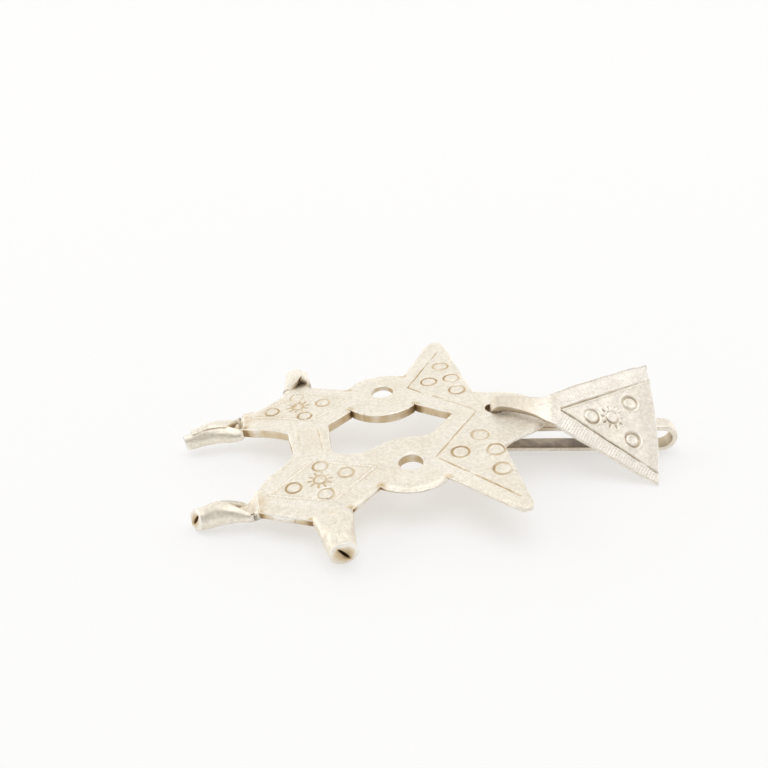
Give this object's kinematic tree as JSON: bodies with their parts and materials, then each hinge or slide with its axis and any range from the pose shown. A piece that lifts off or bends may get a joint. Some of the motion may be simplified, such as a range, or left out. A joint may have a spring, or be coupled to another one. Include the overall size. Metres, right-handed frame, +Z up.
{
  "type": "cross earring",
  "caption": "Openwork plate earring with rolled ends, engraved rings and a forged ear hook with a triangular shield, lying flat.",
  "frame": {"origin": "middle of the outline's box, on the surface the earring lies on", "axes": "+X along the jewel toward the hook's outer bend, +Z up from the surface"},
  "size_m": [0.055, 0.036, 0.0087],
  "materials": {
    "pendant_silver": "satin, warm silver with tarnish in the engraving",
    "hook_silver": "satin silver, forged and filed"
  },
  "bodies": {
    "root": {"cross_pendant": "pendant_silver", "ear_hook": "hook_silver"}
  },
  "joints": []
}
